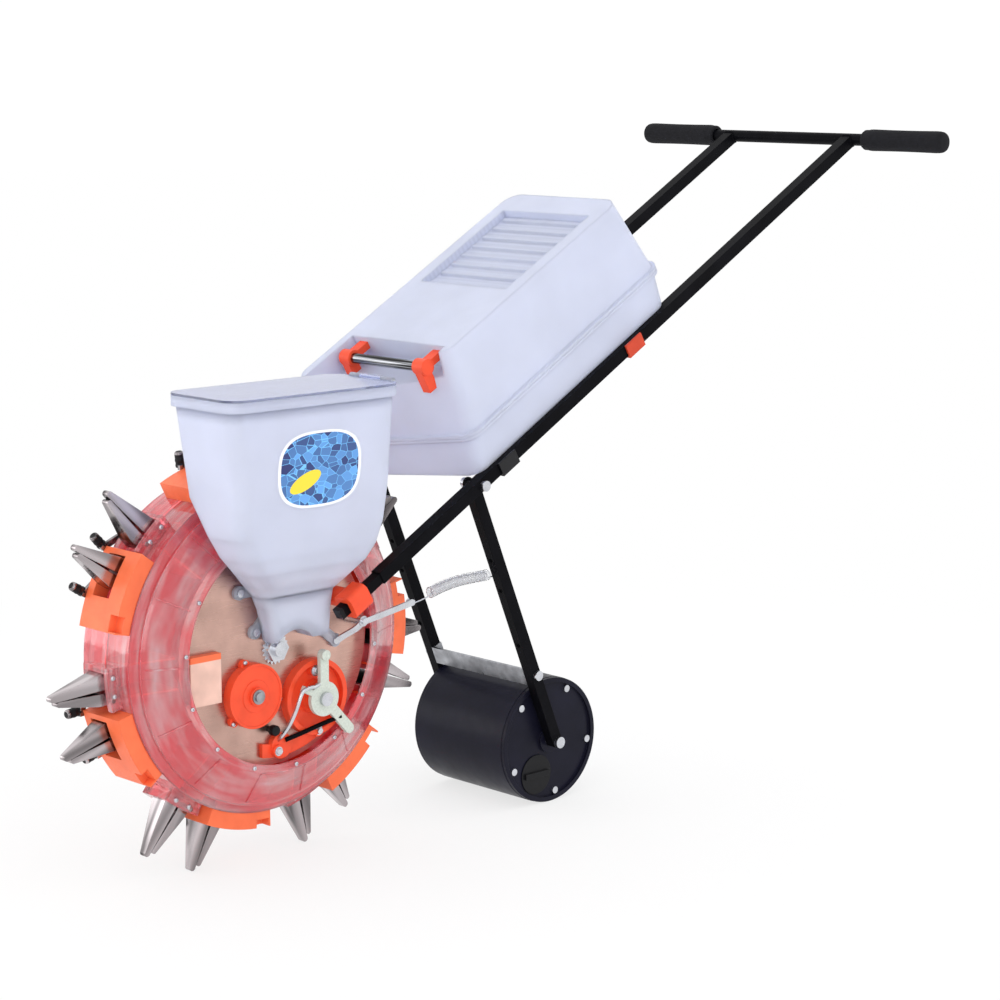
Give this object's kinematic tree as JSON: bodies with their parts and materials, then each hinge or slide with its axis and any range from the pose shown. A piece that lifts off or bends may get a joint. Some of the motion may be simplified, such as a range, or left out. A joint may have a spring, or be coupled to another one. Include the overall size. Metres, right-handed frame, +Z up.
{
  "type": "walk-behind seed planter",
  "caption": "Hand-pushed planter: a beaked seed wheel with a hopper, a fertilizer tank on two tubes with a handlebar, and a press roller on sprung arms.",
  "frame": {"origin": "on the ground under the middle of the overall length, midway between the grips", "axes": "+X forward along the overall length, +Y to the operator's left along the handlebar, +Z up"},
  "size_m": [1.3866, 0.588, 0.9255],
  "materials": {
    "black_powder_coat": "satin powder coat",
    "black_rubber": "matte",
    "black_plastic": "matte",
    "orange_plastic": "satin",
    "clear_plastic": "clear gloss",
    "translucent_plastic": "milky satin",
    "grey_plastic": "satin",
    "sheet_steel": "rolled",
    "beak_steel": "pressed",
    "plated_steel": "zinc plated"
  },
  "bodies": {
    "frame": {"square_tubes": "black_powder_coat", "front_rods": "black_powder_coat", "rod_end_caps": "black_plastic", "handlebar": "black_powder_coat", "grips": "black_rubber", "tube_clamps": "orange_plastic", "axle": "plated_steel", "axle_hardware": "plated_steel", "hub_plates": "sheet_steel", "meter_housings": "orange_plastic", "clutch_housing": "orange_plastic", "hub_bolts": "plated_steel", "lower_bracket": "orange_plastic", "seed_scoop": "orange_plastic", "seed_hopper": "translucent_plastic", "hinge_pins": "plated_steel", "fertilizer_tank": "translucent_plastic", "tank_clips": "orange_plastic", "fertilizer_chute": "translucent_plastic", "spring_stay": "black_powder_coat", "pivot_bolts": "plated_steel"},
    "seed_wheel": {"side_covers": "clear_plastic", "drum_web": "orange_plastic", "drum_bearings": "plated_steel", "ring_gears": "grey_plastic", "beaks": "beak_steel", "seed_beak_bosses": "clear_plastic", "beak_seats": "orange_plastic"},
    "seed_meter": {"seed_roller": "grey_plastic"},
    "fertilizer_meter": {"fertilizer_roller": "grey_plastic"},
    "lever": {"clutch_lever": "grey_plastic"},
    "seed_lid": {"hopper_lid": "clear_plastic"},
    "fertilizer_lid": {"tank_lid": "translucent_plastic", "carry_bar": "plated_steel", "carry_brackets": "orange_plastic"},
    "roller_arms": {"left_arm": "black_powder_coat", "right_arm": "black_powder_coat", "scraper": "black_powder_coat", "scraper_bolts": "plated_steel", "roller_axle": "plated_steel", "arm_spring": "plated_steel", "spring_sleeve": "clear_plastic"},
    "press_roller": {"roller_shell": "black_powder_coat", "end_caps": "black_powder_coat", "cap_screws": "plated_steel"},
    "plug": {"filler_plug": "black_plastic"},
    "seed_flap_1": {"seed_flap_1": "beak_steel"},
    "fertilizer_flap_1": {"fertilizer_flap_1": "beak_steel"},
    "seed_flap_2": {"seed_flap_2": "beak_steel"},
    "fertilizer_flap_2": {"fertilizer_flap_2": "beak_steel"},
    "seed_flap_3": {"seed_flap_3": "beak_steel"},
    "fertilizer_flap_3": {"fertilizer_flap_3": "beak_steel"},
    "seed_flap_4": {"seed_flap_4": "beak_steel"},
    "fertilizer_flap_4": {"fertilizer_flap_4": "beak_steel"},
    "seed_flap_5": {"seed_flap_5": "beak_steel"},
    "fertilizer_flap_5": {"fertilizer_flap_5": "beak_steel"},
    "seed_flap_6": {"seed_flap_6": "beak_steel"},
    "fertilizer_flap_6": {"fertilizer_flap_6": "beak_steel"},
    "seed_flap_7": {"seed_flap_7": "beak_steel"},
    "fertilizer_flap_7": {"fertilizer_flap_7": "beak_steel"}
  },
  "joints": [
    {"name": "drum_spin", "type": "hinge", "parent": "frame", "child": "seed_wheel", "pos_m": [0.39066, 0, 0.28897], "axis": [0, 1, 0], "continuous": true},
    {"name": "seed_meter_spin", "type": "hinge", "parent": "frame", "child": "seed_meter", "pos_m": [0.43158, 0, 0.23466], "axis": [0, 1, 0], "continuous": true},
    {"name": "fertilizer_meter_spin", "type": "hinge", "parent": "frame", "child": "fertilizer_meter", "pos_m": [0.43158, 0, 0.23466], "axis": [0, 1, 0], "continuous": true},
    {"name": "clutch_throw", "type": "hinge", "parent": "frame", "child": "lever", "pos_m": [0.33066, 0, 0.21697], "axis": [0, 1, 0], "range_deg": [-12, 20]},
    {"name": "hopper_lid_hinge", "type": "hinge", "parent": "frame", "child": "seed_lid", "pos_m": [0.27136, 0.119, 0.63047], "axis": [0, -1, 0], "range_deg": [0, 105]},
    {"name": "tank_lid_hinge", "type": "hinge", "parent": "frame", "child": "fertilizer_lid", "pos_m": [-0.27147, 0, 0.74882], "axis": [0, -1, 0], "range_deg": [0, 75]},
    {"name": "arm_swing", "type": "hinge", "parent": "frame", "child": "roller_arms", "pos_m": [0.08249, 0, 0.47152], "axis": [0, 1, 0], "range_deg": [-6, 25], "deforming": ["arm_spring", "spring_sleeve"]},
    {"name": "roller_spin", "type": "hinge", "parent": "roller_arms", "child": "press_roller", "pos_m": [-0.07534, 0, 0.089], "axis": [0, 1, 0], "continuous": true},
    {"name": "plug_turn", "type": "hinge", "parent": "press_roller", "child": "plug", "pos_m": [-0.05174, 0, 0.04267], "axis": [0, 1, 0], "range_deg": [0, 90]},
    {"name": "seed_flap_1_open", "type": "hinge", "parent": "seed_wheel", "child": "seed_flap_1", "pos_m": [0.56038, 0, 0.44066], "axis": [0, 1, 0], "range_deg": [0, 20], "stiffness_Nm_per_rad": 0.5, "springref_deg": -20.05},
    {"name": "fertilizer_flap_1_open", "type": "hinge", "parent": "seed_wheel", "child": "fertilizer_flap_1", "pos_m": [0.59386, 0, 0.39156], "axis": [0, 1, 0], "range_deg": [0, 20], "stiffness_Nm_per_rad": 0.5, "springref_deg": -20.05},
    {"name": "seed_flap_2_open", "type": "hinge", "parent": "seed_wheel", "child": "seed_flap_2", "pos_m": [0.61508, 0, 0.25085], "axis": [0, 1, 0], "range_deg": [0, 20], "stiffness_Nm_per_rad": 0.5, "springref_deg": -20.05},
    {"name": "fertilizer_flap_2_open", "type": "hinge", "parent": "seed_wheel", "child": "fertilizer_flap_2", "pos_m": [0.59756, 0, 0.19406], "axis": [0, 1, 0], "range_deg": [0, 20], "stiffness_Nm_per_rad": 0.5, "springref_deg": -20.05},
    {"name": "seed_flap_3_open", "type": "hinge", "parent": "seed_wheel", "child": "seed_flap_3", "pos_m": [0.50078, 0, 0.08974], "axis": [0, 1, 0], "range_deg": [0, 20], "stiffness_Nm_per_rad": 0.5, "springref_deg": -20.05},
    {"name": "fertilizer_flap_3_open", "type": "hinge", "parent": "seed_wheel", "child": "fertilizer_flap_3", "pos_m": [0.44546, 0, 0.06803], "axis": [0, 1, 0], "range_deg": [0, 20], "stiffness_Nm_per_rad": 0.5, "springref_deg": -20.05},
    {"name": "seed_flap_4_open", "type": "hinge", "parent": "seed_wheel", "child": "seed_flap_4", "pos_m": [0.30355, 0, 0.07866], "axis": [0, 1, 0], "range_deg": [0, 20], "stiffness_Nm_per_rad": 0.5, "springref_deg": -20.05},
    {"name": "fertilizer_flap_4_open", "type": "hinge", "parent": "seed_wheel", "child": "fertilizer_flap_4", "pos_m": [0.25209, 0, 0.10837], "axis": [0, 1, 0], "range_deg": [0, 20], "stiffness_Nm_per_rad": 0.5, "springref_deg": -20.05},
    {"name": "seed_flap_5_open", "type": "hinge", "parent": "seed_wheel", "child": "seed_flap_5", "pos_m": [0.17192, 0, 0.22594], "axis": [0, 1, 0], "range_deg": [0, 20], "stiffness_Nm_per_rad": 0.5, "springref_deg": -20.05},
    {"name": "fertilizer_flap_5_open", "type": "hinge", "parent": "seed_wheel", "child": "fertilizer_flap_5", "pos_m": [0.16306, 0, 0.2847], "axis": [0, 1, 0], "range_deg": [0, 20], "stiffness_Nm_per_rad": 0.5, "springref_deg": -20.05},
    {"name": "seed_flap_6_open", "type": "hinge", "parent": "seed_wheel", "child": "seed_flap_6", "pos_m": [0.205, 0, 0.42069], "axis": [0, 1, 0], "range_deg": [0, 20], "stiffness_Nm_per_rad": 0.5, "springref_deg": -20.05},
    {"name": "fertilizer_flap_6_open", "type": "hinge", "parent": "seed_wheel", "child": "fertilizer_flap_6", "pos_m": [0.24541, 0, 0.46425], "axis": [0, 1, 0], "range_deg": [0, 20], "stiffness_Nm_per_rad": 0.5, "springref_deg": -20.05},
    {"name": "seed_flap_7_open", "type": "hinge", "parent": "seed_wheel", "child": "seed_flap_7", "pos_m": [0.37788, 0, 0.51625], "axis": [0, 1, 0], "range_deg": [0, 20], "stiffness_Nm_per_rad": 0.5, "springref_deg": -20.05},
    {"name": "fertilizer_flap_7_open", "type": "hinge", "parent": "seed_wheel", "child": "fertilizer_flap_7", "pos_m": [0.43714, 0, 0.51181], "axis": [0, 1, 0], "range_deg": [0, 20], "stiffness_Nm_per_rad": 0.5, "springref_deg": -20.05}
  ],
  "couplings": [
    {"joint": "seed_meter_spin", "follows": "drum_spin", "ratio": 3},
    {"joint": "fertilizer_meter_spin", "follows": "drum_spin", "ratio": 3}
  ]
}
